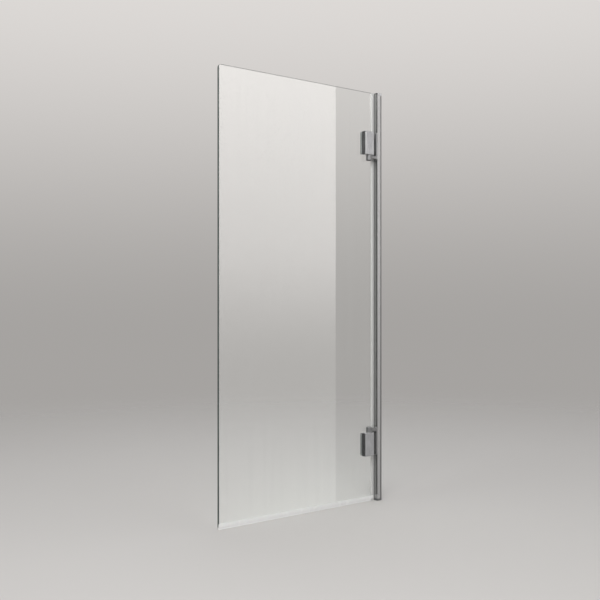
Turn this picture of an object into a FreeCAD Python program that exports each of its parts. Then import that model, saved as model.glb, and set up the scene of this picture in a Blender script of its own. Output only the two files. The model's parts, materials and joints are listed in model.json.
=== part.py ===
import FreeCAD, Part
import math
import os
import re
import Sketcher

# Frameless pivoting bath screen. One sheet of toughened glass swings on two clamp hinges that are
# bracketed off a slim aluminium wall profile. Millimetres.
# X = 0 is the wall and the screen reaches to -X. Y = 0 is the middle of the glass, -Y the room
# side and +Y the bath side. Z = 0 is the bath's rim.

Vector = FreeCAD.Vector
document = FreeCAD.newDocument("bath_screen")

# Driving sizes, each a real size that can be changed by itself.
SIZES = {
    # glass sheet
    "glass_width": 695,
    "glass_height": 1500,
    "glass_thick": 6,
    "glass_bevel": 0.6,
    "free_corner_radius": 12,
    "rim_gap": 8,
    "hinge_gap": 5,
    # wall channel and the profile that slides over it
    "profile_face": 14.5,
    "profile_deep": 28,
    "profile_ahead": 18.5,
    "wall_reveal": 9,
    "web_thick": 2.5,
    "flange_thick": 1.8,
    "channel_reach": 20,
    "channel_web": 2,
    "channel_flange": 1.8,
    "slide_gap": 0.3,
    "wall_hole_radius": 3,
    "wall_hole_end": 90,
    # bath-side groove of the profile, its screws and its cover strip
    "groove_deep": 3,
    "lip_thick": 1.8,
    "strip_thick": 1.1,
    "strip_leg": 0.9,
    "strip_gap": 0.1,
    "adjust_screw_radius": 2,
    "adjust_head_radius": 3.5,
    "adjust_head_tall": 1.6,
    "adjust_tip": 1.5,
    "adjust_screw_end": 120,
    # end pieces of the profile
    "cap_thick": 2,
    "cap_bevel": 0.5,
    "plug_deep": 10,
    # hinge blocks and what clamps them on the glass
    "upper_hinge_drop": 190,
    "lower_hinge_rise": 205,
    "pivot_reach": 36,
    "block_width": 43.5,
    "block_deep": 21,
    "block_tall": 85,
    "block_tail": 16,
    "block_bevel": 1.5,
    "gasket_thick": 1,
    "gasket_inset": 1,
    "plate_thick": 4,
    "plate_inset": 2,
    "plate_bevel": 0.8,
    "clamp_offset": 15.5,
    "clamp_pitch": 50,
    "clamp_screw_radius": 3,
    "clamp_head_radius": 6,
    "clamp_thread": 12,
    "clamp_socket": 4,
    "glass_hole_radius": 8,
    "collar_gap": 0.2,
    # pivots
    "pin_radius": 4,
    "pin_grip": 22,
    "pin_bevel": 0.8,
    "bore_spare": 3,
    "running_gap": 0.05,
    "face_gap": 0.1,
    "bush_wall": 2,
    "bush_flange": 2,
    "bush_flange_thick": 1.2,
    "set_screw_long": 7,
    "set_screw_socket": 4,
    "set_screw_sunk": 1,
    # brackets on the profile
    "barrel_tall": 20,
    "arm_thick": 12,
    "arm_tall": 12,
    "arm_sink": 0.5,
    "upright_thick": 4,
    "upright_front": 6.5,
    "upright_back": 9,
    "bracket_screw_radius": 2.5,
    "bracket_head_radius": 4.5,
    "bracket_head_tall": 2.5,
    "bracket_screw_side": 3,
    "bracket_pitch": 46,
    "bracket_socket": 3,
    # clear seals
    "seal_wall": 0.8,
    "seal_web": 1,
    "soft_gap": 0.3,
    "side_seal_leg": 8,
    "bulb_wall": 0.6,
    "bulb_sink": 0.3,
    "foot_seal_leg": 11,
    "wiper_gap": 0.5,
    "drip_out": 3.4,
    "drip_down": 4.6,
}

# Places worked out from the sizes. The hinge pieces use the pivot as their own origin.
PLACES = {
    "side_face": "-(wall_reveal + profile_face)",
    "glass_edge": "side_face - hinge_gap",
    "glass_end": "glass_edge - glass_width",
    "glass_front": "-glass_thick / 2",
    "glass_back": "glass_thick / 2",
    "glass_top": "rim_gap + glass_height",
    "profile_foot": "rim_gap",
    "profile_top": "glass_top - cap_thick",
    "profile_long": "profile_top - profile_foot",
    "channel_top": "glass_height",
    "profile_front": "glass_front - profile_ahead",
    "profile_back": "profile_front + profile_deep",
    "groove_floor": "profile_back - groove_deep",
    "groove_end": "side_face + web_thick",
    "lip_face": "-wall_reveal - lip_thick",
    "slot_front": "profile_front + flange_thick",
    "slot_back": "groove_floor - flange_thick",
    "channel_front": "slot_front + slide_gap",
    "channel_back": "slot_back - slide_gap",
    "channel_middle": "(channel_front + channel_back) / 2",
    "groove_middle": "(groove_end + lip_face) / 2",
    "pivot_x": "side_face - pivot_reach",
    "pivot_y": "glass_front - gasket_thick - block_deep / 2",
    "upper_level": "glass_top - upper_hinge_drop",
    "lower_level": "rim_gap + lower_hinge_rise",
    "mirror_level": "(upper_level + lower_level) / 2",
    "block_foot": "-block_tall / 2",
    "block_end": "block_tail - block_width",
    "block_back": "block_deep / 2",
    "clamp_low": "-clamp_pitch / 2",
    "clamp_high": "clamp_pitch / 2",
    "sheet_front": "block_back + gasket_thick",
    "sheet_back": "sheet_front + glass_thick",
    "plate_front": "sheet_back + gasket_thick",
    "plate_back": "plate_front + plate_thick",
    "bush_inner": "pin_radius + running_gap",
    "bush_outer": "bush_inner + bush_wall",
    "bush_rim": "bush_outer + bush_flange",
    "bush_foot": "block_foot - bush_flange_thick",
    "barrel_radius": "block_deep / 2",
    "barrel_top": "bush_foot - face_gap",
    "barrel_foot": "barrel_top - barrel_tall",
    "arm_foot": "barrel_top - arm_sink - arm_tall",
    "upright_left": "pivot_reach - upright_thick",
    "web_back": "pivot_reach + web_thick",
    "bracket_low": "-bracket_pitch / 2",
    "bracket_high": "bracket_pitch / 2",
    "seat_foot": "barrel_foot + set_screw_sunk",
    "bulb_radius": "(hinge_gap - seal_web - soft_gap + bulb_sink) / 2",
    "bulb_middle": "glass_edge + seal_web - bulb_sink + bulb_radius",
    "seal_half": "glass_thick / 2 + seal_wall",
    "foot_web": "rim_gap - seal_web",
}

VALUE_COLUMN = "B"
WALL_HOLES = 4
FLATS_TO_CORNER = 1 / math.sqrt(3)
SOCKET_SHARE = 0.75
finished = {}


def formula(words):
    """Write a formula of size and place names in the terms of the two sheets."""

    def full_name(word):
        sheet = "Sizes" if word.group() in SIZES else "Places"
        return sheet + "." + word.group()

    return re.sub(r"[a-z][a-z_]*", full_name, words)


def bind(thing, **formulas):
    """Tie properties to the sheets; two underscores in a name stand for a dot."""
    for name, words in formulas.items():
        thing.setExpression(name.replace("__", "."), formula(words))


def fill_sheet(name, rows):
    """Make one sheet: a name in column A and its aliased cell beside it."""
    sheet = document.addObject("Spreadsheet::Sheet", name)
    for row, (word, content) in enumerate(rows.items(), start=1):
        cell = f"{VALUE_COLUMN}{row}"
        sheet.set(f"A{row}", word)
        sheet.set(cell, str(content))
        sheet.setAlias(cell, word)
    document.recompute()
    return sheet


fill_sheet("Sizes", SIZES)
fill_sheet("Places", {word: "=" + formula(words) for word, words in PLACES.items()})


def finish(label, thing):
    """Give a finished sub-part its label and list it for export."""
    thing.Label = label
    finished[label] = thing
    return thing


def new_body(label):
    """Start the body of a sub-part."""
    return finish(label, document.addObject("PartDesign::Body", label))


def hinge_body(name):
    """Start a hinge piece with its origin on the pivot axis, level with the upper block."""
    body = document.addObject("PartDesign::Body", name)
    bind(body, Placement__Base__x="pivot_x", Placement__Base__y="pivot_y",
         Placement__Base__z="upper_level")
    return body


def outline(body, plane, corners, offset="0"):
    """Sketch a closed outline of straight lines whose corners are given as formulas."""
    sketch = body.newObject("Sketcher::SketchObject", body.Name + "_outline")
    support = next(item for item in body.Origin.OriginFeatures if item.Role == plane)
    sketch.AttachmentSupport = [(support, "")]
    sketch.MapMode = "FlatFace"
    bind(sketch, AttachmentOffset__Base__z=offset)
    count = len(corners)
    turns = [2 * math.pi * number / count for number in range(count)]
    first_guess = [Vector(10 * math.cos(turn), 10 * math.sin(turn), 0) for turn in turns]
    for number in range(count):
        following = first_guess[(number + 1) % count]
        sketch.addGeometry(Part.LineSegment(first_guess[number], following), False)
    for number in range(count):
        join = Sketcher.Constraint("Coincident", number, 2, (number + 1) % count, 1)
        sketch.addConstraint(join)
    for number, corner in enumerate(corners):
        guess = (first_guess[number].x, first_guess[number].y)
        for kind, start, words in zip(("DistanceX", "DistanceY"), guess, corner):
            rule = sketch.addConstraint(Sketcher.Constraint(kind, -1, 1, number, 1, start))
            sketch.setExpression(f"Constraints[{rule}]", formula(words))
    return sketch


def rectangle(left, right, low, high):
    """Four corners from the formulas of a rectangle's sides."""
    return [(left, low), (right, low), (right, high), (left, high)]


def pad(body, plane, corners, length, offset="0"):
    """Extrude an outline along its plane's normal."""
    sketch = outline(body, plane, corners, offset)
    feature = body.newObject("PartDesign::Pad", body.Name + "_pad")
    feature.Profile = sketch
    bind(feature, Length=length)
    document.recompute()
    return feature


def revolve(body, corners):
    """Turn an outline in the XZ plane all the way round the body's own Z axis."""
    sketch = outline(body, "XZ_Plane", corners)
    feature = body.newObject("PartDesign::Revolution", body.Name + "_turning")
    feature.Profile = sketch
    feature.ReferenceAxis = (sketch, ["V_Axis"])
    feature.Angle = 360
    document.recompute()
    return feature


# Turns that point a primitive's own Z axis along another direction.
ALONG = {
    "+Z": FreeCAD.Rotation(),
    "+Y": FreeCAD.Rotation(Vector(1, 0, 0), -90),
    "-Y": FreeCAD.Rotation(Vector(1, 0, 0), 90),
    "+X": FreeCAD.Rotation(Vector(0, 1, 0), 90),
    "-X": FreeCAD.Rotation(Vector(0, 1, 0), -90),
}


def primitive(body, kind, at, direction, **formulas):
    """Add or cut a cylinder or cone that starts at a point and runs in a direction."""
    feature = body.newObject("PartDesign::" + kind, body.Name + "_" + kind)
    feature.Placement.Rotation = ALONG[direction]
    bind(feature, Placement__Base__x=at[0], Placement__Base__y=at[1], Placement__Base__z=at[2],
         **formulas)
    document.recompute()
    return feature


def bore(body, at, direction, radius, depth):
    """Cut a round hole and make sure that it took material away."""
    before = body.Tip.Shape.Volume
    feature = primitive(body, "SubtractiveCylinder", at, direction, Radius=radius, Height=depth)
    if not feature.Shape.Volume < before:
        raise RuntimeError(f"a bore of {body.Label} cuts nothing")


def countersink(body, at, direction, wide, narrow):
    """Cut a 90 degree countersink from its wide end."""
    primitive(body, "SubtractiveCone", at, direction, Radius1=wide, Radius2=narrow,
              Height=f"{wide} - {narrow}")


def dress(body, kind, size, chosen):
    """Chamfer or fillet the edges of the body's tip that a test picks."""
    tip = body.Tip
    names = [f"Edge{number}" for number, edge in enumerate(tip.Shape.Edges, start=1)
             if chosen(edge)]
    feature = body.newObject("PartDesign::" + kind, body.Name + "_" + kind)
    feature.Base = (tip, names)
    bind(feature, **{"Radius" if kind == "Fillet" else "Size": size})
    document.recompute()
    return feature


def size(word):
    """The present number of a size or place."""
    sheet = document.Sizes if word in SIZES else document.Places
    return float(sheet.get(word))


def runs_along(edge, axis):
    """True for a straight edge that runs along one axis, 0 for X, 1 for Y, 2 for Z."""
    if not isinstance(edge.Curve, Part.Line):
        return False
    return abs(abs(edge.Curve.Direction[axis]) - 1) < 1e-6


def lies_at(edge, axis, place):
    """True where the whole edge lies at one coordinate."""
    ends = [vertex.Point[axis] for vertex in edge.Vertexes]
    return all(abs(end - place) < 1e-4 for end in ends)


def screw(name, at, direction, radius, head_radius, head_tall, length, socket, tapered):
    """One screw: a head from its top at the given point, a shank below it and a hexagon socket."""
    neck = radius if tapered else head_radius
    head = document.addObject("Part::Cone", name + "_head")
    bind(head, Radius1=head_radius, Radius2=neck, Height=head_tall)
    shank = document.addObject("Part::Cylinder", name + "_shank")
    bind(shank, Radius=radius, Height=length)
    drive = document.addObject("Part::Prism", name + "_drive")
    drive.Polygon = 6
    bind(drive, Circumradius=f"{socket} * {FLATS_TO_CORNER}",
         Height=f"{head_tall} * {SOCKET_SHARE}")
    solid = document.addObject("Part::Fuse", name + "_solid")
    solid.Base, solid.Tool = head, shank
    made = document.addObject("Part::Cut", name)
    made.Base, made.Tool = solid, drive
    made.Placement.Rotation = ALONG[direction]
    bind(made, Placement__Base__x=at[0], Placement__Base__y=at[1], Placement__Base__z=at[2])
    return made


def group(label, members):
    """Several like solids that share one node."""
    compound = document.addObject("Part::Compound", label)
    compound.Links = members
    return finish(label, compound)


# Wall channel: a U extrusion screwed to the wall through four round holes in its web.
wall_channel = new_body("wall_channel")
pad(wall_channel, "XY_Plane", [
    ("0", "channel_front"),
    ("-channel_reach", "channel_front"),
    ("-channel_reach", "channel_front + channel_flange"),
    ("-channel_web", "channel_front + channel_flange"),
    ("-channel_web", "channel_back - channel_flange"),
    ("-channel_reach", "channel_back - channel_flange"),
    ("-channel_reach", "channel_back"),
    ("0", "channel_back"),
], "channel_top")
for number in range(WALL_HOLES):
    share = number / (WALL_HOLES - 1)
    level = f"wall_hole_end + {share} * (channel_top - 2 * wall_hole_end)"
    bore(wall_channel, ("-channel_web", "channel_middle", level), "+X",
         "wall_hole_radius", "channel_web")

# Adjusting profile: slides over the channel to take up a wall that is out of true, and stands
# level with the glass at both ends. Its side web carries the hinge brackets, and a groove on its
# bath side hides the screws that lock it.
adjusting_profile = new_body("adjusting_profile")
pad(adjusting_profile, "XY_Plane", [
    ("-wall_reveal", "profile_front"),
    ("side_face", "profile_front"),
    ("side_face", "profile_back"),
    ("groove_end", "profile_back"),
    ("groove_end", "groove_floor"),
    ("lip_face", "groove_floor"),
    ("lip_face", "profile_back"),
    ("-wall_reveal", "profile_back"),
    ("-wall_reveal", "slot_back"),
    ("groove_end", "slot_back"),
    ("groove_end", "slot_front"),
    ("-wall_reveal", "slot_front"),
], "profile_long", "profile_foot")
for hinge in ("upper_level", "lower_level"):
    for level in ("bracket_low", "bracket_high"):
        bore(adjusting_profile,
             ("side_face", "pivot_y + bracket_screw_side", f"{hinge} + {level}"), "+X",
             "bracket_screw_radius", "web_thick")

# Two pan-head screws lock the profile on the channel from the bath side.
lock_levels = ("adjust_screw_end", "channel_top - adjust_screw_end")
lock_screws = []
for number, level in enumerate(lock_levels):
    bore(adjusting_profile, ("groove_middle", "groove_floor", level), "-Y",
         "adjust_screw_radius", "flange_thick")
    bore(wall_channel, ("groove_middle", "channel_back", level), "-Y",
         "adjust_screw_radius", "channel_flange")
    lock_screws.append(screw(
        f"lock_screw_{number}", ("groove_middle", "groove_floor + adjust_head_tall", level), "-Y",
        "adjust_screw_radius", "adjust_head_radius", "adjust_head_tall",
        "adjust_head_tall + flange_thick + slide_gap + channel_flange + adjust_tip",
        "adjust_screw_radius", tapered=False))
group("adjustment_screws", lock_screws)

# Cover strip: a thin snap-in channel that closes the groove over those screws.
cover_strip = new_body("cover_strip")
pad(cover_strip, "XY_Plane", [
    ("groove_end + strip_gap", "profile_back"),
    ("lip_face - strip_gap", "profile_back"),
    ("lip_face - strip_gap", "groove_floor"),
    ("lip_face - strip_gap - strip_leg", "groove_floor"),
    ("lip_face - strip_gap - strip_leg", "profile_back - strip_thick"),
    ("groove_end + strip_gap + strip_leg", "profile_back - strip_thick"),
    ("groove_end + strip_gap + strip_leg", "groove_floor"),
    ("groove_end + strip_gap", "groove_floor"),
], "profile_long", "profile_foot")

# End pieces: a cap closes the profile's top, steps down onto the channel behind it and plugs it.
# A plug alone seals the channel's foot on the rim.
plug_corners = rectangle(
    "groove_end + slide_gap", "-channel_web - slide_gap",
    "channel_front + channel_flange + slide_gap", "channel_back - channel_flange - slide_gap")
top_cap = new_body("top_cap")
pad(top_cap, "XY_Plane", [
    ("0", "channel_front"),
    ("-wall_reveal", "channel_front"),
    ("-wall_reveal", "profile_front"),
    ("side_face", "profile_front"),
    ("side_face", "profile_back"),
    ("-wall_reveal", "profile_back"),
    ("-wall_reveal", "channel_back"),
    ("0", "channel_back"),
], "cap_thick", "profile_top")
dress(top_cap, "Chamfer", "cap_bevel",
      lambda edge: lies_at(edge, 2, size("profile_top") + size("cap_thick"))
      and not lies_at(edge, 0, 0))
pad(top_cap, "XY_Plane", rectangle("-wall_reveal", "0", "channel_front", "channel_back"),
    "profile_top - channel_top", "channel_top")
pad(top_cap, "XY_Plane", plug_corners, "profile_top - channel_top + plug_deep",
    "channel_top - plug_deep")
foot_plug = new_body("foot_plug")
pad(foot_plug, "XY_Plane", plug_corners, "plug_deep")

# Glass: one sheet, its top free corner rounded, bevelled all round and drilled for the clamps.
glass_panel = new_body("glass_panel")
pad(glass_panel, "XZ_Plane",
    rectangle("glass_end", "glass_edge", "rim_gap", "glass_top"), "glass_thick", "glass_front")
dress(glass_panel, "Fillet", "free_corner_radius",
      lambda edge: runs_along(edge, 1) and lies_at(edge, 0, size("glass_end"))
      and lies_at(edge, 2, size("glass_top")))
dress(glass_panel, "Chamfer", "glass_bevel",
      lambda edge: lies_at(edge, 1, size("glass_front")) or lies_at(edge, 1, size("glass_back")))
for hinge in ("upper_level", "lower_level"):
    for level in ("clamp_low", "clamp_high"):
        bore(glass_panel, ("pivot_x - clamp_offset", "glass_front", f"{hinge} + {level}"), "+Y",
             "glass_hole_radius", "glass_thick")

# Hinge-edge seal: a clear clip on the glass with a hollow bulb towards the profile.
side_seal = new_body("side_seal")
pad(side_seal, "XY_Plane", [
    ("glass_edge - side_seal_leg", "-seal_half"),
    ("glass_edge + seal_web", "-seal_half"),
    ("glass_edge + seal_web", "seal_half"),
    ("glass_edge - side_seal_leg", "seal_half"),
    ("glass_edge - side_seal_leg", "glass_back"),
    ("glass_edge", "glass_back"),
    ("glass_edge", "glass_front"),
    ("glass_edge - side_seal_leg", "glass_front"),
], "glass_height", "rim_gap")
primitive(side_seal, "AdditiveCylinder", ("bulb_middle", "0", "rim_gap"), "+Z",
          Radius="bulb_radius", Height="glass_height")
bore(side_seal, ("bulb_middle", "0", "rim_gap"), "+Z", "bulb_radius - bulb_wall", "glass_height")

# Foot seal: a clear clip under the glass with a wiper blade and a slanted drip fin to the bath.
bottom_seal = new_body("bottom_seal")
pad(bottom_seal, "YZ_Plane", [
    ("-seal_half", "rim_gap + foot_seal_leg"),
    ("-seal_half", "foot_web"),
    ("-seal_wall", "foot_web"),
    ("-seal_wall", "wiper_gap"),
    ("0", "wiper_gap"),
    ("0", "foot_web"),
    ("seal_half - 2 * seal_wall", "foot_web"),
    ("seal_half + drip_out - seal_wall", "foot_web - drip_down"),
    ("seal_half + drip_out", "foot_web - drip_down"),
    ("seal_half", "foot_web"),
    ("seal_half", "rim_gap + foot_seal_leg"),
    ("glass_back", "rim_gap + foot_seal_leg"),
    ("glass_back", "rim_gap"),
    ("glass_front", "rim_gap"),
    ("glass_front", "rim_gap + foot_seal_leg"),
], "glass_width - side_seal_leg - soft_gap", "glass_end")


# Hinges. The upper hinge is modelled piece by piece, and each lower piece is its mirror image:
# the upper block stands on its bracket's barrel and the lower block hangs below its own, so the
# glass can neither drop nor be lifted off.
def mirror_image(upper):
    """The lower hinge's copy of a piece, mirrored in the level halfway between the hinges."""
    lower = document.addObject("Part::Mirroring", upper.Name + "_mirrored")
    lower.Source = upper
    lower.Normal = Vector(0, 0, 1)
    bind(lower, Base__z="mirror_level")
    return lower


def hinge_block():
    """Chrome block outside the glass, bored for the bush and tapped for the clamp screws."""
    body = hinge_body("hinge_block")
    pad(body, "XY_Plane", rectangle("block_end", "block_tail", "-block_back", "block_back"),
        "block_tall", "block_foot")
    dress(body, "Chamfer", "block_bevel",
          lambda edge: not lies_at(edge, 1, size("block_back")))
    bore(body, ("0", "0", "block_foot"), "+Z", "bush_outer", "pin_grip + bore_spare")
    for level in ("clamp_low", "clamp_high"):
        bore(body, ("-clamp_offset", "block_back", level), "-Y", "clamp_screw_radius",
             "clamp_thread")
    return body


def pivot_bush():
    """Flanged plastic bush pressed into the block; its flange takes the weight."""
    body = hinge_body("bush")
    revolve(body, [
        ("bush_inner", "bush_foot"),
        ("bush_rim", "bush_foot"),
        ("bush_rim", "block_foot"),
        ("bush_outer", "block_foot"),
        ("bush_outer", "block_foot + pin_grip"),
        ("bush_inner", "block_foot + pin_grip"),
    ])
    return body


def pivot_pin():
    """Steel pin fixed in the bracket's barrel, which the bush turns on."""
    body = hinge_body("pin")
    revolve(body, [
        ("0", "seat_foot + set_screw_long"),
        ("pin_radius", "seat_foot + set_screw_long"),
        ("pin_radius", "block_foot + pin_grip - pin_bevel"),
        ("pin_radius - pin_bevel", "block_foot + pin_grip"),
        ("0", "block_foot + pin_grip"),
    ])
    return body


def set_screw():
    """Socket set screw behind the pin, which sets its height."""
    body = hinge_body("set_screw")
    primitive(body, "AdditiveCylinder", ("0", "0", "seat_foot"), "+Z",
              Radius="pin_radius", Height="set_screw_long")
    socket = body.newObject("PartDesign::SubtractivePrism", "set_screw_socket")
    socket.Polygon = 6
    bind(socket, Circumradius=f"set_screw_socket * {FLATS_TO_CORNER}",
         Height="set_screw_long / 2", Placement__Base__z="seat_foot")
    return body


def hinge_bracket():
    """Chrome bracket: an upright on the profile, an arm and the barrel that holds the pin."""
    body = hinge_body("bracket")
    primitive(body, "AdditiveCylinder", ("0", "0", "barrel_foot"), "+Z",
              Radius="barrel_radius", Height="barrel_tall")
    pad(body, "XY_Plane", rectangle("0", "pivot_reach", "-arm_thick / 2", "arm_thick / 2"),
        "arm_tall", "arm_foot")
    pad(body, "XY_Plane",
        rectangle("upright_left", "pivot_reach", "-upright_front", "upright_back"),
        "block_tall / 2 - arm_foot", "arm_foot")
    bore(body, ("0", "0", "barrel_foot"), "+Z", "pin_radius", "barrel_tall")
    for level in ("bracket_low", "bracket_high"):
        bore(body, ("upright_left", "bracket_screw_side", level), "+X",
             "bracket_screw_radius", "upright_thick")
    return body


def bracket_screws():
    """Two socket screws from inside the profile, through its web into the tapped upright."""
    return [
        screw(f"bracket_screw_{number}",
              ("pivot_x + web_back + bracket_head_tall", "pivot_y + bracket_screw_side",
               f"upper_level + {level}"),
              "-X", "bracket_screw_radius", "bracket_head_radius", "bracket_head_tall",
              "bracket_head_tall + web_thick + upright_thick", "bracket_socket", tapered=False)
        for number, level in enumerate(("bracket_low", "bracket_high"))
    ]


def gasket(name, front, collars):
    """Thin soft sheet between glass and metal; collars keep the screws off the drilled glass."""
    body = hinge_body(name)
    pad(body, "XZ_Plane", rectangle(
        "block_end + gasket_inset", "block_tail - gasket_inset",
        "block_foot + gasket_inset", "-block_foot - gasket_inset"),
        "gasket_thick", f"-{front} - gasket_thick")
    for level in ("clamp_low", "clamp_high"):
        at = ("-clamp_offset", front, level)
        if collars:
            primitive(body, "AdditiveCylinder", at, "+Y",
                      Radius="glass_hole_radius - collar_gap",
                      Height="gasket_thick + glass_thick")
        bore(body, at, "+Y", "clamp_screw_radius", "gasket_thick + glass_thick")
    return body


def clamp_plate():
    """Chrome plate on the bath side of the glass, countersunk for the clamp screws."""
    body = hinge_body("clamp_plate")
    pad(body, "XZ_Plane", rectangle(
        "block_end + plate_inset", "block_tail - plate_inset",
        "block_foot + plate_inset", "-block_foot - plate_inset"),
        "plate_thick", "-plate_back")
    dress(body, "Chamfer", "plate_bevel",
          lambda edge: lies_at(edge, 1, size("plate_back")))
    for level in ("clamp_low", "clamp_high"):
        at = ("-clamp_offset", "plate_back", level)
        bore(body, at, "-Y", "clamp_screw_radius", "plate_thick")
        countersink(body, at, "-Y", "clamp_head_radius", "clamp_screw_radius")
    return body


def clamp_screws():
    """Two countersunk screws from the bath side through the glass into the block."""
    return [
        screw(f"clamp_screw_{number}",
              ("pivot_x - clamp_offset", "pivot_y + plate_back", f"upper_level + {level}"),
              "-Y", "clamp_screw_radius", "clamp_head_radius",
              "clamp_head_radius - clamp_screw_radius",
              "plate_back - block_back + clamp_thread", "clamp_socket", tapered=True)
        for number, level in enumerate(("clamp_low", "clamp_high"))
    ]


# The blocks and brackets are nodes of their own on either hinge.
main_pieces = {
    "hinge_block": hinge_block(),
    "bracket": hinge_bracket(),
}
for name, upper in main_pieces.items():
    finish("upper_" + name, upper)
    finish("lower_" + name, mirror_image(upper))

# The other pieces of both hinges share one node for each kind.
shared_pieces = {
    "pivot_pins": [pivot_pin()],
    "set_screws": [set_screw()],
    "bracket_screws": bracket_screws(),
    "pivot_bushes": [pivot_bush()],
    "outer_gaskets": [gasket("outer_gasket", "block_back", collars=True)],
    "inner_gaskets": [gasket("inner_gasket", "sheet_back", collars=False)],
    "clamp_plates": [clamp_plate()],
    "clamp_screws": clamp_screws(),
}
for name, uppers in shared_pieces.items():
    group(name, uppers + [mirror_image(upper) for upper in uppers])

document.recompute()
faults = [item.Label for item in document.Objects
          if "Invalid" in item.State or "Error" in item.State]
faults += [label for label, item in finished.items()
           if item.Shape.isNull() or not item.Shape.isValid() or item.Shape.Volume <= 0]
if faults:
    raise RuntimeError("failed: " + ", ".join(faults))

os.makedirs("parts", exist_ok=True)
for label, item in finished.items():
    item.Shape.exportStep(f"parts/{label}.step")
print(len(finished), "sub-parts written")
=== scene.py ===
import json
import math

import bmesh
import bpy
import numpy as np
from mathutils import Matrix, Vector


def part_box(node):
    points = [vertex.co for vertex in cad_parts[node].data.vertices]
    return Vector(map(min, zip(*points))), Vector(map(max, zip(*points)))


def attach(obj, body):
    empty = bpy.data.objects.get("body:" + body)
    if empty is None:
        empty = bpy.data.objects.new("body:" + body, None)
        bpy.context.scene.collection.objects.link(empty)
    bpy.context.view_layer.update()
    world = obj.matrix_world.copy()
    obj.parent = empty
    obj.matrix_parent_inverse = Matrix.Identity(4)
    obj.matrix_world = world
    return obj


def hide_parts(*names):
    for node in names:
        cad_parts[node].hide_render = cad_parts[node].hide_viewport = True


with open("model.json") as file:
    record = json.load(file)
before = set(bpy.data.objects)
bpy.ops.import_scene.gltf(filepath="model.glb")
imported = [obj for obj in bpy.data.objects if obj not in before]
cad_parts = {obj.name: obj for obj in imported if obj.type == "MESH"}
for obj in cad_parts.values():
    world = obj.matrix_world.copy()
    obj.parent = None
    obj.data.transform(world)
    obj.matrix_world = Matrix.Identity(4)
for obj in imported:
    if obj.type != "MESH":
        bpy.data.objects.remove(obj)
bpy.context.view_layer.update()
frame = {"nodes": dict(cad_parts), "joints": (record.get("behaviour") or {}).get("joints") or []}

# Frameless pivoting bath screen, in metres and in the CAD's own frame: X = 0 is the back of the
# channel, Y = 0 the middle of the glass with the hinges on its -Y side, and Z = 0 the foot.
scene = bpy.context.scene
nodes = frame["nodes"]


# --- Camera -------------------------------------------------------------------------------------
# Level, at about half the screen's height, with the lens axis just above the middle of the frame.
IMAGE_PIXELS = 600
FOCAL_PIXELS = 937
AXIS_ABOVE_MIDDLE = 4
SENSOR = 36
CAMERA_PLACE = (-2.4605, -2.4962, 0.757)
CAMERA_TURN = math.radians(-39.84)

lens = bpy.data.cameras.new("camera")
lens.sensor_width = SENSOR
lens.lens = FOCAL_PIXELS / IMAGE_PIXELS * SENSOR
lens.shift_y = -AXIS_ABOVE_MIDDLE / IMAGE_PIXELS
camera = bpy.data.objects.new("camera", lens)
camera.location = CAMERA_PLACE
camera.rotation_euler = (math.pi / 2, 0, CAMERA_TURN)
scene.collection.objects.link(camera)
scene.camera = camera
scene.view_settings.view_transform = "Standard"


# --- Studio -------------------------------------------------------------------------------------
# A pale floor that fades into a pale backdrop, and one soft key lamp. What metal and glass mirror is
# set apart: lighter above, dark in one direction, and with a tall bright pane for the glass.
BACKDROP_HIGH = (0.74, 0.713, 0.692, 1)
BACKDROP_LOW = (0.38, 0.366, 0.354, 1)
BACKDROP_SLOPE = (-0.05, 0.36)
FILL = (0.6, 0.6, 0.6, 1)
MIRRORED_LOW = (0.27, 0.265, 0.265, 1)
MIRRORED_HIGH = (0.62, 0.61, 0.615, 1)
MIRRORED_SLOPE = 0.5
DARK_SIDE = (-0.72, 0.694, 0)
DARK_EDGE = (0.58, 0.88)
DARK_SHARE = 0.1
FLOOR_COLOUR = (0.62, 0.602, 0.585, 1)
FLOOR_ROUGHNESS = 0.7
FLOOR_HALF = 9
FLOOR_FADE = (1.2, 4.5)
FLOOR_DROP = 0.0003
WINDOW_SIDES = (0.9, 2.489)
WINDOW_PLACE = -3
WINDOW_LEVELS = (-1.2, 3.2)
WINDOW_SILL = (0.15, 1.2)
WINDOW_GLOW = (2.6, 2.53, 2.5, 1)
WINDOW_DIM = (1.05, 1.035, 1.02, 1)
KEY_PLACE = (-2.4, -2.0, 2.9)
KEY_SIZE = (1.8, 1.8)
KEY_POWER = 70
SCREEN_MIDDLE = (-0.36, 0, 0.75)


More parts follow.
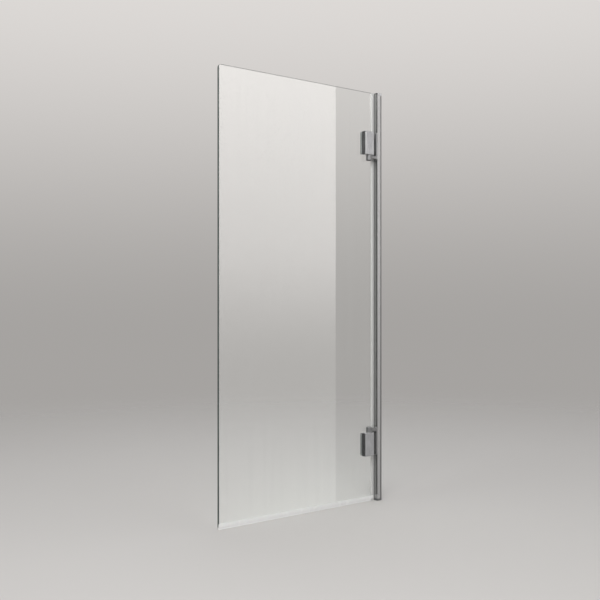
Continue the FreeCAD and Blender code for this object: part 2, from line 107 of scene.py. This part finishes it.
class Socket:
    """An output in a node tree. Python's +, - and * and abs() on it add Math nodes."""

    def __init__(self, tree, output=None):
        self.tree = tree
        self.output = output

    def node(self, kind, settings, inputs, output=0):
        """Add a node: its settings first, then values or links for its inputs."""
        made = self.tree.nodes.new(kind)
        for name, value in settings.items():
            setattr(made, name, value)
        for name, value in inputs.items():
            if isinstance(value, Socket):
                self.tree.links.new(value.output, made.inputs[name])
            else:
                made.inputs[name].default_value = value
        return Socket(self.tree, made.outputs[output] if made.outputs else None)

    def maths(self, operation, first, second):
        """A Math node on two values or sockets."""
        return self.node("ShaderNodeMath", {"operation": operation}, {0: first, 1: second})

    def __add__(self, other):
        return self.maths("ADD", self, other)

    def __sub__(self, other):
        return self.maths("SUBTRACT", self, other)

    def __rsub__(self, other):
        return self.maths("SUBTRACT", other, self)

    def __mul__(self, other):
        return self.maths("MULTIPLY", self, other)

    def __abs__(self):
        return self.maths("ABSOLUTE", self, 0)

    __radd__ = __add__
    __rmul__ = __mul__

    def at_least(self, other):
        """The larger of this and another value or socket."""
        return self.maths("MAXIMUM", self, other)

    def spread(self, low, high, to_low=0, to_high=1):
        """Carry the range from low to high smoothly over to another range."""
        return self.node("ShaderNodeMapRange", {"interpolation_type": "SMOOTHSTEP"},
                         {"Value": self, "From Min": low, "From Max": high,
                          "To Min": to_low, "To Max": to_high})

    def tint(self, first, second):
        """The colour between two that this factor picks."""
        return self.node("ShaderNodeMix", {"data_type": "RGBA"}, {0: self, 6: first, 7: second}, 2)

    def layer(self, below, above):
        """The shader between two that this factor picks."""
        return self.node("ShaderNodeMixShader", {}, {0: self, 1: below, 2: above})

    def place(self):
        """The place on the object, in metres in the CAD's frame."""
        return self.node("ShaderNodeTexCoord", {}, {}, "Object")

    def axis(self, letter):
        """This vector's coordinate on the axis X, Y or Z."""
        return self.node("ShaderNodeSeparateXYZ", {}, {"Vector": self}, letter)

    def ray(self, kind):
        """What Light Path tells of the ray."""
        return self.node("ShaderNodeLightPath", {}, {}, kind)

    def principled(self, inputs):
        """A Principled shader with these inputs."""
        return self.node("ShaderNodeBsdfPrincipled", {}, inputs)

    def cover(self):
        """Make this shader the material's surface."""
        self.node("ShaderNodeOutputMaterial", {}, {"Surface": self})


def new_material(name):
    """An empty material and the Socket that its nodes start from."""
    material = bpy.data.materials.new(name)
    material.use_nodes = True
    material.node_tree.nodes.clear()
    return material, Socket(material.node_tree)


def flat_sheet(name, corners, material):
    """A stage object of one four-sided face."""
    mesh = bpy.data.meshes.new(name)
    mesh.from_pydata(corners, [], [(0, 1, 2, 3)])
    mesh.materials.append(material)
    made = bpy.data.objects.new(name, mesh)
    scene.collection.objects.link(made)
    return made


def soft_lamp(name, place, target, size, power):
    """A rectangular lamp that shines from a place towards a target and isn't itself seen."""
    light = bpy.data.lights.new(name, "AREA")
    light.shape = "RECTANGLE"
    light.size, light.size_y = size
    light.energy = power
    made = bpy.data.objects.new(name, light)
    made.location = place
    made.rotation_euler = (Vector(target) - Vector(place)).to_track_quat("-Z", "Y").to_euler()
    made.visible_camera = False
    made.visible_transmission = False
    scene.collection.objects.link(made)


world = bpy.data.worlds.new("studio")
world.use_nodes = True
world.node_tree.nodes.clear()
world.cycles.sampling_method = "NONE"
scene.world = world
start = Socket(world.node_tree)
look = start.node("ShaderNodeTexCoord", {}, {}, "Generated")
height = look.axis("Z")
towards = start.node("ShaderNodeVectorMath", {"operation": "DOT_PRODUCT"},
                     {0: look, 1: DARK_SIDE}, "Value")
mirrored = start.node("ShaderNodeVectorMath", {"operation": "SCALE"}, {
    0: height.spread(-MIRRORED_SLOPE, MIRRORED_SLOPE).tint(MIRRORED_LOW, MIRRORED_HIGH),
    "Scale": towards.spread(*DARK_EDGE, 1, DARK_SHARE)})
backdrop = height.spread(*BACKDROP_SLOPE).tint(BACKDROP_LOW, BACKDROP_HIGH)
# An even fill lights the object. Only rays of sight, plain, through glass or mirrored, see the rest.
seen = start.ray("Is Camera Ray") + start.ray("Is Glossy Ray") + start.ray("Is Transmission Ray")
shown = seen.tint(FILL, start.ray("Glossy Depth").tint(backdrop, mirrored))
air = start.node("ShaderNodeBackground", {}, {"Color": shown, "Strength": 1})
air.node("ShaderNodeOutputWorld", {}, {"Surface": air})

floor_finish, start = new_material("studio_floor")
away = start.node("ShaderNodeVectorMath", {"operation": "LENGTH"}, {0: start.place()}, "Value")
paper = start.principled({"Base Color": FLOOR_COLOUR, "Roughness": FLOOR_ROUGHNESS})
clear = start.node("ShaderNodeBsdfTransparent", {}, {})
(away.spread(*FLOOR_FADE) + start.ray("Glossy Depth")).layer(paper, clear).cover()
flat_sheet("studio_floor", [(side_x * FLOOR_HALF, side_y * FLOOR_HALF, -FLOOR_DROP)
                            for side_x, side_y in ((-1, -1), (1, -1), (1, 1), (-1, 1))],
           floor_finish)

window_finish, start = new_material("studio_window")
light_up = start.place().axis("Z").spread(*WINDOW_SILL)
glow = start.node("ShaderNodeEmission", {}, {
    "Color": light_up.tint(WINDOW_DIM, WINDOW_GLOW), "Strength": 1})
clear = start.node("ShaderNodeBsdfTransparent", {}, {})
start.ray("Glossy Depth").layer(clear, glow).cover()
window = flat_sheet("studio_window", [
    (WINDOW_SIDES[side], WINDOW_PLACE, WINDOW_LEVELS[level])
    for side, level in ((0, 0), (1, 0), (1, 1), (0, 1))], window_finish)
for sight in ("camera", "diffuse", "volume_scatter", "shadow"):
    setattr(window, "visible_" + sight, False)

soft_lamp("key_lamp", KEY_PLACE, SCREEN_MIDDLE, KEY_SIZE, KEY_POWER)


# --- Glass sheet --------------------------------------------------------------------------------
# One sheet of 6 mm clear toughened float glass, slightly wavy from the rollers of the toughening
# oven, with a faint film and drip streaks from water. Its edges are ground flat and polished. They,
# and a narrow strip of the faces along the free edge, are coloured nearly black green: painted shade
# for the dark look that reflection and refraction inside the glass give its edges.
GLASS_IOR = 1.52
GLASS_CLEAR = (0.995, 0.99, 0.985, 1)
GLASS_DEEP = (0.82, 0.93, 0.89, 1)
GLASS_DENSITY = 13
GLASS_SHADE = (0.93, 0.96, 0.95, 1)
WAVES = (3.5, 3.5, 6.0)
WAVE_HEIGHT = 0.00003
EDGE_DARK = (0.045, 0.058, 0.053, 1)
EDGE_LIGHT = (0.1, 0.12, 0.11, 1)
EDGE_ROUGHNESS = 0.3
EDGE_DEEP = (0.0002, 0.0001)
EDGE_WIDE = (0.0024, 0.00288)
GRINDING = (14, 1600, 14)
FILM_COLOUR = (0.85, 0.86, 0.86, 1)
FILM_ROUGHNESS = 0.55
FILM_SHARE = (0.015, 0.04)
DRIPS = (38, 38, 1.6)
DRIP_RANGE = (0.3, 0.8)
NOISE_RANGE = (0.3, 0.7)


def paint(material, *names):
    """Give CAD nodes their material."""
    for name in names:
        for slot in nodes[name].material_slots:
            slot.material = material


def noise(start, density, detail=2):
    """Noise on Object coordinates with so many features to the metre along X, Y and Z."""
    dense = start.node("ShaderNodeVectorMath", {"operation": "MULTIPLY"},
                       {0: start.place(), 1: density})
    return start.node("ShaderNodeTexNoise", {}, {"Vector": dense, "Scale": 1, "Detail": detail})


def relief(height):
    """The normal of a surface with this height in metres."""
    return height.node("ShaderNodeBump", {}, {"Height": height, "Distance": 1})


clear_glass, start = new_material("clear_glass")
glass_low, glass_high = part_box("glass_panel")
place = start.place()
# 1 on the two faces, and 0 on the edges and on a narrow strip along the free edge.
on_face = (abs(place.axis("Y")).spread(glass_high.y - EDGE_DEEP[0], glass_high.y - EDGE_DEEP[1])
           * place.axis("X").spread(glass_low.x + EDGE_WIDE[0], glass_low.x + EDGE_WIDE[1]))
ground = noise(start, GRINDING).spread(*NOISE_RANGE)
# Painted shade: the edges' opaque, nearly black green colour stands in for the glass's inner
# reflections.
edge = start.principled({"Base Color": ground.tint(EDGE_DARK, EDGE_LIGHT),
                         "Roughness": EDGE_ROUGHNESS, "IOR": GLASS_IOR})
sheet = start.principled({
    "Base Color": GLASS_CLEAR, "Roughness": 0, "IOR": GLASS_IOR, "Transmission Weight": 1,
    "Normal": relief(noise(start, WAVES, 0) * WAVE_HEIGHT)})
film = start.principled({"Base Color": FILM_COLOUR, "Roughness": FILM_ROUGHNESS})
streaks = noise(start, DRIPS).spread(*DRIP_RANGE, *FILM_SHARE)
outside = on_face.layer(edge, (streaks * start.ray("Is Camera Ray")).layer(sheet, film))
shade = start.node("ShaderNodeBsdfTransparent", {}, {"Color": GLASS_SHADE})
inside = start.node("ShaderNodeVolumeAbsorption", {},
                    {"Color": GLASS_DEEP, "Density": GLASS_DENSITY})
start.node("ShaderNodeOutputMaterial", {}, {
    "Surface": start.ray("Is Shadow Ray").layer(outside, shade), "Volume": inside})
paint(clear_glass, "glass_panel")


# --- Channel, profile and cover strip -----------------------------------------------------------
# Extruded aluminium with fine die lines along its length. The channel has a mill finish, and its
# dark colour is painted shade for the shadow in its narrow recess beside the wall. The profile that
# slides over it, and the strip, are polished and anodised bright. The profile's side towards the
# glass is coloured darker: painted shade for the shadow and dark reflections in the gap there.
BRIGHT_ALUMINIUM = (0.8, 0.8, 0.79, 1)
SHADED_SIDE_ALUMINIUM = (0.35, 0.35, 0.345, 1)
SHADED_SIDE_DEPTH = 0.0006
SHADED_MILL_ALUMINIUM = (0.27, 0.27, 0.265, 1)
BRIGHT_ROUGHNESS = (0.1, 0.2)
MILL_ROUGHNESS = (0.38, 0.6)
DIE_LINES = (1300, 1300, 0.1)
DIE_RANGE = (0.25, 0.75)
DIE_HEIGHT = 0.000004


def extruded(start, colour, roughness):
    """Cover a material with metal whose roughness and relief run in lines along the extrusion."""
    lines = noise(start, DIE_LINES, 3)
    start.principled({
        "Base Color": colour, "Metallic": 1,
        "Roughness": lines.spread(*DIE_RANGE, *roughness),
        "Normal": relief(lines * DIE_HEIGHT)}).cover()


polished_aluminium, start = new_material("polished_aluminium")
glass_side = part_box("adjusting_profile")[0].x
# Painted shade: within this depth of its side towards the glass, the profile is coloured darker.
painted_side_shade = 1 - start.place().axis("X").spread(glass_side, glass_side + SHADED_SIDE_DEPTH)
extruded(start, painted_side_shade.tint(BRIGHT_ALUMINIUM, SHADED_SIDE_ALUMINIUM), BRIGHT_ROUGHNESS)
paint(polished_aluminium, "adjusting_profile", "cover_strip")

channel_aluminium, start = new_material("channel_aluminium")
# Painted shade: the channel's colour is darkened for the shadow in its recess beside the wall.
extruded(start, SHADED_MILL_ALUMINIUM, MILL_ROUGHNESS)
paint(channel_aluminium, "wall_channel")


# --- Cap and plug -------------------------------------------------------------------------------
# Injection moulded end pieces: a cap with a metallic coat pressed into the profile's top, and a
# plain grey plug that seals the channel's foot.
CAP_SILVER = (0.52, 0.53, 0.54, 1)
CAP_ROUGHNESS = (0.28, 0.38)
CAP_METALLIC = 0.8
PLUG_GREY = (0.15, 0.155, 0.16, 1)
PLUG_ROUGHNESS = (0.5, 0.65)
MOULD_GRAIN = (2500, 2500, 2500)
MOULD_HEIGHT = 0.000012


def grained(name, colour, roughness, density, height, metallic=0.0, alpha=1.0):
    """A finish whose roughness and relief follow the same fine grain."""
    material, start = new_material(name)
    grain = noise(start, density)
    start.principled({
        "Base Color": colour, "Metallic": metallic, "Alpha": alpha,
        "Roughness": grain.spread(*NOISE_RANGE, *roughness),
        "Normal": relief(grain * height)}).cover()
    return material


paint(grained("silver_plastic", CAP_SILVER, CAP_ROUGHNESS, MOULD_GRAIN, MOULD_HEIGHT, CAP_METALLIC),
      "top_cap")
paint(grained("grey_plastic", PLUG_GREY, PLUG_ROUGHNESS, MOULD_GRAIN, MOULD_HEIGHT), "foot_plug")


# --- Clear seals --------------------------------------------------------------------------------
# Two clear vinyl extrusions pushed onto the sheet's edges. The one on the hinge edge ends in a thin
# bubble that closes the gap to the profile; the foot seal has a wiper blade and a drip fin.
SEAL_WHITE = (0.95, 0.95, 0.94, 1)
SEAL_IOR = 1.5
SEAL_FACING = 0.4
SEAL_RIM_RANGE = (0.2, 0.95)
SEAL_THIN = 0.42
SEAL_RIM = 0.85
SEAL_DENSE = 0.85
SEAL_CLOUDS = (60, 60, 25)
SEAL_ROUGHNESS = (0.15, 0.3)
SEAL_GAP = 0.00005
SEAL_WALL = 0.0008
SEAL_WEB = 0.001
SEAL_ROUNDING = 0.0003
ROUNDING_STEPS = 5
ROUNDING_SHARE = 0.4
BUBBLE_HALF = 0.0036
BUBBLE_SQUARE = 0.6
BUBBLE_WALL = 0.0006
BUBBLE_SLIT = 0.00003
BLADE_BEND = 0.0026
BLADE_CURVE = 1.5
FIN_DROP = 0.0046
FIN_CURVE = 1.6
FIN_LEAN = 0.0004
TIP_SHARE = 0.6
CURVE_STEPS = 14
MERGE_DISTANCE = 1e-7
SHARP_ANGLE = math.radians(35)
# How far the columns (u, v, level) roll so that the level lies on an axis.
AXIS_ROLL = {"Z": 0, "X": 1, "Y": 2}


def softened(corners, cut):
    """Round a closed outline: each corner becomes a quadratic curve that starts a cut before it and
    ends a cut after it, or two fifths of that side where this is less."""
    back = np.roll(corners, 1, axis=0) - corners
    ahead = np.roll(corners, -1, axis=0) - corners
    back_length = np.linalg.norm(back, axis=1, keepdims=True)
    ahead_length = np.linalg.norm(ahead, axis=1, keepdims=True)
    first = corners + back * np.minimum(cut / back_length, ROUNDING_SHARE)
    last = corners + ahead * np.minimum(cut / ahead_length, ROUNDING_SHARE)
    along = np.linspace(0, 1, ROUNDING_STEPS)[:, None, None]
    curve = (1 - along) ** 2 * first + 2 * along * (1 - along) * corners + along ** 2 * last
    return curve.transpose(1, 0, 2).reshape(-1, 2)


def straight_bar(outline, low, high, axis):
    """Carry an outline straight along an axis from low to high, with a flat face on each end."""
    around = len(outline)
    ends = np.repeat([low, high], around)
    points = np.roll(np.column_stack([np.tile(outline, (2, 1)), ends]), AXIS_ROLL[axis], axis=1)
    here = np.arange(around)
    beside = (here + 1) % around
    sides = np.column_stack([here, beside, beside + around, here + around]).tolist()
    return points, sides + [here[::-1].tolist(), (here + around).tolist()]


def piece(name, shells, material, body, replaced):
    """One object from closed shells that takes a CAD node's place. Its faces are turned outwards,
    and its flat faces are shaded flat."""
    work = bmesh.new()
    for points, faces in shells:
        shell = bpy.data.meshes.new(name + "_shell")
        shell.from_pydata(points.tolist(), [], faces)
        work.from_mesh(shell)
        bpy.data.meshes.remove(shell)
    bmesh.ops.remove_doubles(work, verts=work.verts, dist=MERGE_DISTANCE)
    bmesh.ops.recalc_face_normals(work, faces=work.faces)
    mesh = bpy.data.meshes.new(name)
    work.to_mesh(mesh)
    work.free()
    mesh.shade_smooth()
    mesh.set_sharp_from_angle(angle=SHARP_ANGLE)
    mesh.materials.append(material)
    made = bpy.data.objects.new(name, mesh)
    scene.collection.objects.link(made)
    made.modifiers.new("flat_faces", "WEIGHTED_NORMAL").keep_sharp = True
    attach(made, body)
    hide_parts(replaced)


clear_seal, start = new_material("clear_seal")
side_low, side_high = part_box("side_seal")
foot_low, foot_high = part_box("bottom_seal")
place = start.place()
# Past the sheet's hinge edge and below the top of the foot seal the vinyl looks denser.
off_glass = (place.axis("X").spread(glass_high.x, glass_high.x + SEAL_WALL)
             + (1 - place.axis("Z").spread(foot_high.z, foot_high.z + SEAL_WALL)))
rim = start.node("ShaderNodeLayerWeight", {}, {"Blend": SEAL_FACING}, "Facing")
start.principled({
    "Base Color": SEAL_WHITE, "IOR": SEAL_IOR,
    "Roughness": noise(start, SEAL_CLOUDS).spread(*NOISE_RANGE, *SEAL_ROUGHNESS),
    "Alpha": rim.spread(*SEAL_RIM_RANGE, SEAL_THIN, SEAL_RIM).at_least(off_glass * SEAL_DENSE),
}).cover()

half_glass = glass_high.y + SEAL_GAP
half_seal = side_high.y
web_face = glass_high.x + SEAL_WEB
bubble_reach = side_high.x - web_face
swing = np.linspace(-np.pi / 2, np.pi / 2, CURVE_STEPS)
bulge = np.column_stack([np.abs(np.cos(swing)) ** BUBBLE_SQUARE,
                         np.sign(swing) * np.abs(np.sin(swing)) ** BUBBLE_SQUARE])
outer = (web_face, 0) + bulge * (bubble_reach, BUBBLE_HALF)
inner = ((web_face, 0) + bulge * (bubble_reach - BUBBLE_WALL, BUBBLE_HALF - BUBBLE_WALL))[::-1]
outer[-1, 0] += BUBBLE_SLIT
inner[0, 0] += BUBBLE_SLIT
clip = np.vstack([
    [(side_low.x, -half_seal), (web_face, -half_seal)], outer, inner,
    [(web_face, half_seal), (side_low.x, half_seal), (side_low.x, half_glass),
     (glass_high.x + SEAL_GAP, half_glass), (glass_high.x + SEAL_GAP, -half_glass),
     (side_low.x, -half_glass)]])
piece("hinge_edge_seal", [straight_bar(softened(clip, SEAL_ROUNDING), side_low.z, side_high.z, "Z")],
      clear_seal, "glass_leaf", "side_seal")

half_seal = -foot_low.y
foot_web = glass_low.z - SEAL_WEB
down = np.linspace(0, 1, CURVE_STEPS)
thinning = 1 - (1 - TIP_SHARE) * down
blade_y = -SEAL_WALL / 2 - BLADE_BEND * down ** BLADE_CURVE
blade_z = foot_web - (foot_web - foot_low.z) * down
blade_half = SEAL_WALL / 2 * thinning
fin_root = half_seal - SEAL_WALL
fin_y = fin_root + (foot_high.y - fin_root) * down
fin_z = foot_web - FIN_DROP * down ** FIN_CURVE
fin_half = SEAL_WALL * thinning / 2
foot = np.vstack([
    [(-half_seal, foot_high.z), (-half_seal, foot_web)],
    np.column_stack([blade_y - blade_half, blade_z]),
    np.column_stack([blade_y + blade_half, blade_z])[::-1],
    np.column_stack([fin_y - FIN_LEAN * (1 - down), fin_z - fin_half]),
    np.column_stack([fin_y, fin_z + fin_half])[::-1],
    [(half_seal, foot_web + SEAL_WALL), (half_seal, foot_high.z), (half_glass, foot_high.z),
     (half_glass, glass_low.z - SEAL_GAP), (-half_glass, glass_low.z - SEAL_GAP),
     (-half_glass, foot_high.z)]])
piece("foot_wiper_seal", [straight_bar(softened(foot, SEAL_ROUNDING), foot_low.x, foot_high.x, "X")],
      clear_seal, "glass_leaf", "bottom_seal")


# --- Hinge blocks -------------------------------------------------------------------------------
# Die cast zinc blocks, ground, polished and chromed, that stand outside the glass. Each is bored
# from one end for its bush and is drawn against the sheet by two screws from behind.
CHROME = (0.74, 0.745, 0.75, 1)
CHROME_ROUGHNESS = (0.1, 0.18)
SMEARS = (45, 45, 30)
SMEAR_RANGE = (0.4, 0.8)
RIPPLE = (140, 140, 110)
RIPPLE_HEIGHT = 0.000002
BLOCK_CORNER = 0.002
BLOCK_EASE = 0.0014
BUSH_RADIUS = 0.00605
BORE_DEEP = 0.025
BORE_CHAMFER = 0.0004
QUARTER_STEPS = 12
EASE_STEPS = 6


def rounded_rings(level, half_u, half_v, corner, middle):
    """Rings of rounded rectangles, one for each level: a quarter circle of the corner's radius round
    each corner of the rectangle that is smaller by that radius. Half sizes equal to it give circles."""
    level, half_u, half_v, corner = np.broadcast_arrays(level, half_u, half_v, corner)
    quarter = np.arange(4)[:, None]
    turn = ((np.linspace(0, 1, QUARTER_STEPS) + quarter) * np.pi / 2).ravel()
    side = np.repeat((np.arange(4) + 0.5) * np.pi / 2, QUARTER_STEPS)
    corner = corner[:, None]
    along_u = (half_u[:, None] - corner) * np.sign(np.cos(side)) + corner * np.cos(turn)
    along_v = (half_v[:, None] - corner) * np.sign(np.sin(side)) + corner * np.sin(turn)
    return np.stack([middle[0] + along_u, middle[1] + along_v,
                     np.broadcast_to(level[:, None], along_u.shape)], axis=-1)


def eased(end, inward, radius):
    """Levels and insets of an end whose edge is rounded by a quarter circle, from the end face in."""
    turn = np.linspace(0, np.pi / 2, EASE_STEPS)
    return end + inward * radius * (1 - np.cos(turn)), radius * (1 - np.sin(turn))


def skin(rings, axis, closed=False):
    """The surface whose point (i, j) is point j of ring i. Quads join each ring to the next. With
    closed, the last ring joins the first; otherwise a fan from its middle closes each end ring."""
    rings = np.roll(rings, AXIS_ROLL[axis], axis=-1)
    count, around = rings.shape[:2]
    points = rings.reshape(-1, 3)
    here = np.arange(around)
    beside = (here + 1) % around
    first = np.arange(count if closed else count - 1)[:, None] * around
    second = (first + around) % (count * around)
    quads = np.stack([first + here, first + beside, second + beside, second + here], axis=-1)
    faces = quads.reshape(-1, 4).tolist()
    if not closed:
        last = (count - 1) * around
        lid, foot = np.full(around, len(points)), np.full(around, len(points) + 1)
        faces += np.column_stack([lid, beside, here]).tolist()
        faces += np.column_stack([foot, last + here, last + beside]).tolist()
        points = np.vstack([points, rings[[0, -1]].mean(axis=1)])
    return points, faces


def flipped(shell, level):
    """A shell mirrored in a level."""
    points, faces = shell
    return points * (1, 1, -1) + (0, 0, 2 * level), faces


chrome, start = new_material("chrome")
start.principled({
    "Base Color": CHROME, "Metallic": 1,
    "Roughness": noise(start, SMEARS, 3).spread(*SMEAR_RANGE, *CHROME_ROUGHNESS),
    "Normal": relief(noise(start, RIPPLE, 1) * RIPPLE_HEIGHT)}).cover()

block_low, block_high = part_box("upper_hinge_block")
block_middle = (block_low + block_high) / 2
block_half = (block_high - block_low) / 2
mirror_level = (block_low.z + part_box("lower_hinge_block")[1].z) / 2
pivot = frame["joints"][0]["pos_m"][:2]

low_levels, low_insets = eased(block_low.z, 1, BLOCK_EASE)
high_levels, high_insets = eased(block_high.z, -1, BLOCK_EASE)
insets = np.concatenate([low_insets, high_insets[::-1]])
bore_radii = np.array([BUSH_RADIUS, BUSH_RADIUS, BUSH_RADIUS + BORE_CHAMFER])
bore_levels = block_low.z + np.array([BORE_DEEP, BORE_CHAMFER, 0])
block = skin(np.concatenate([
    rounded_rings(bore_levels, bore_radii, bore_radii, bore_radii, pivot),
    rounded_rings(np.concatenate([low_levels, high_levels[::-1]]), block_half.x - insets,
                  block_half.y - insets, BLOCK_CORNER - insets, block_middle)]), "Z")
piece("upper_block", [block], chrome, "glass_leaf", "upper_hinge_block")
piece("lower_block", [flipped(block, mirror_level)], chrome, "glass_leaf",
      "lower_hinge_block")


# --- Brackets -----------------------------------------------------------------------------------
# Satin chromed castings screwed to the profile from inside, the screws' ends just through. Their
# colour is darkened as painted shade, for the shadow under the blocks and beside the profile. Each has
# an upright on the profile, an arm that thickens into it, and a barrel that holds the pivot pin.
# Painted shade: the castings' colour is far darker than the blocks' chrome, for the shadow they lie in.
SHADED_CASTING = (0.32, 0.32, 0.32, 1)
CASTING_ROUGHNESS = (0.48, 0.6)
BLASTING = (1500, 1500, 1500)
BLAST_HEIGHT = 0.000006
BARREL_TALL = 0.02
BARREL_EASE = 0.0032
BARREL_TOP_EASE = 0.0008
PIN_RADIUS = 0.004
PIN_CHAMFER = 0.0005
ARM_HALF_WIDE = 0.006
ARM_HALF_TALL = 0.006
ARM_SINK = 0.0005
ARM_CORNER = 0.0025
ARM_START = 0.007
ARM_FLARE = 0.0045
ARM_STEPS = 28
UPRIGHT_THICK = 0.0038
UPRIGHT_FRONT = 0.0065
UPRIGHT_BACK = 0.009
UPRIGHT_CORNER = 0.003
UPRIGHT_EASE = 0.0026

satin_chrome = grained("satin_chrome", SHADED_CASTING, CASTING_ROUGHNESS, BLASTING, BLAST_HEIGHT, 1)

bracket_low, bracket_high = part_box("upper_bracket")
barrel_radius = pivot[0] - bracket_low.x
barrel_foot = bracket_low.z
barrel_top = barrel_foot + BARREL_TALL
low_levels, low_insets = eased(barrel_foot, 1, BARREL_EASE)
high_levels, high_insets = eased(barrel_top, -1, BARREL_TOP_EASE)
radii = np.concatenate([barrel_radius - low_insets, barrel_radius - high_insets[::-1],
                        [PIN_RADIUS, PIN_RADIUS, PIN_RADIUS + PIN_CHAMFER]])
levels = np.concatenate([low_levels, high_levels[::-1],
                         [barrel_top, barrel_foot + PIN_CHAMFER, barrel_foot]])
barrel = skin(rounded_rings(levels, radii, radii, radii, pivot), "Z", closed=True)

upright_face = bracket_high.x - UPRIGHT_THICK
reach = np.linspace(pivot[0] + ARM_START, bracket_high.x - UPRIGHT_THICK / 2, ARM_STEPS)
near_end = np.clip(1 - (upright_face - reach) / ARM_FLARE, 0, 1)
flare = ARM_FLARE * (1 - np.sqrt(1 - near_end ** 2))
arm_level = barrel_top - ARM_SINK - ARM_HALF_TALL
arm = skin(rounded_rings(reach, ARM_HALF_WIDE, ARM_HALF_TALL + flare, ARM_CORNER,
                         (pivot[1], arm_level)), "X")

face_levels, face_insets = eased(upright_face, 1, UPRIGHT_EASE)
face_levels = np.append(face_levels, bracket_high.x)
face_insets = np.append(face_insets, 0)
upright_foot = arm_level - ARM_HALF_TALL
upright = skin(rounded_rings(
    face_levels, (UPRIGHT_FRONT + UPRIGHT_BACK) / 2 - face_insets,
    (bracket_high.z - upright_foot) / 2 - face_insets, UPRIGHT_CORNER - face_insets,
    (pivot[1] + (UPRIGHT_BACK - UPRIGHT_FRONT) / 2, (upright_foot + bracket_high.z) / 2)), "X")
casting = [barrel, arm, upright]
piece("upper_bracket_casting", casting, satin_chrome, "wall_side", "upper_bracket")
piece("lower_bracket_casting", [flipped(shell, mirror_level) for shell in casting], satin_chrome,
      "wall_side", "lower_bracket")


# --- Clamp plates, screws and pins --------------------------------------------------------------
# Chromed flat plates with chamfered edges behind the sheet. Two countersunk socket screws draw each
# plate to its block through the drilled glass. All screws and pins are turned stainless steel.
STEEL = (0.56, 0.56, 0.55, 1)
STEEL_ROUGHNESS = (0.16, 0.3)
TURNING = (700, 700, 700)
TURNING_HEIGHT = 0.000003
SCREW_PITCH = 0.05
SHANK_RADIUS = 0.003
HEAD_RADIUS = 0.0058
HEAD_EASE = 0.0003
HEAD_SUNK = 0.0001
SOCKET_FLATS = 0.002
SOCKET_CHAMFER = 0.0003
SOCKET_DEEP = 0.0022
HEAD_STEPS = 48
HEAD_TURN = np.arange(HEAD_STEPS) * 2 * np.pi / HEAD_STEPS

turned_steel = grained("stainless_steel", STEEL, STEEL_ROUGHNESS, TURNING, TURNING_HEIGHT, 1)


def polar_rings(level, radius, middle):
    """Rings at a radius from the middle, either one for the whole ring or one for each point."""
    radius = np.stack([np.broadcast_to(entry, HEAD_STEPS) for entry in radius])
    return np.stack([middle[0] + radius * np.cos(HEAD_TURN), middle[1] + radius * np.sin(HEAD_TURN),
                     np.broadcast_to(np.array(level)[:, None], radius.shape)], axis=-1)


hexagon = SOCKET_FLATS / np.cos(np.mod(HEAD_TURN, np.pi / 3) - np.pi / 6)
screw_low, screw_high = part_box("clamp_screws")
screw_x = (screw_low.x + screw_high.x) / 2
head_top = screw_high.y - HEAD_SUNK
screws = []
for level in (block_middle.z, 2 * mirror_level - block_middle.z):
    for side in (-0.5, 0.5):
        middle = (level + side * SCREW_PITCH, screw_x)
        screws.append(skin(polar_rings(
            [block_high.y, head_top - HEAD_RADIUS + SHANK_RADIUS, head_top - HEAD_EASE, head_top,
             head_top, head_top - SOCKET_CHAMFER, head_top - SOCKET_DEEP],
            [SHANK_RADIUS, SHANK_RADIUS, HEAD_RADIUS - HEAD_EASE, HEAD_RADIUS - 2 * HEAD_EASE,
             hexagon + SOCKET_CHAMFER, hexagon, hexagon], middle), "Y"))
piece("clamp_screw_set", screws, turned_steel, "glass_leaf", "clamp_screws")
paint(chrome, "clamp_plates")
paint(turned_steel, "adjustment_screws", "bracket_screws", "pivot_pins", "set_screws")


# --- Bushes and gaskets -------------------------------------------------------------------------
# Moulded white plastic bushes take the weight on their flanges. Soft grey translucent gaskets lie
# between metal and glass, and the outer ones have collars that line the drilled holes.
BUSH_WHITE = (0.8, 0.8, 0.77, 1)
BUSH_ROUGHNESS = (0.35, 0.5)
GASKET_GREY = (0.62, 0.63, 0.63, 1)
GASKET_ROUGHNESS = (0.55, 0.75)
GASKET_ALPHA = 0.45
paint(grained("white_plastic", BUSH_WHITE, BUSH_ROUGHNESS, MOULD_GRAIN, MOULD_HEIGHT),
      "pivot_bushes")
paint(grained("gasket", GASKET_GREY, GASKET_ROUGHNESS, MOULD_GRAIN, MOULD_HEIGHT,
              alpha=GASKET_ALPHA), "outer_gaskets", "inner_gaskets")
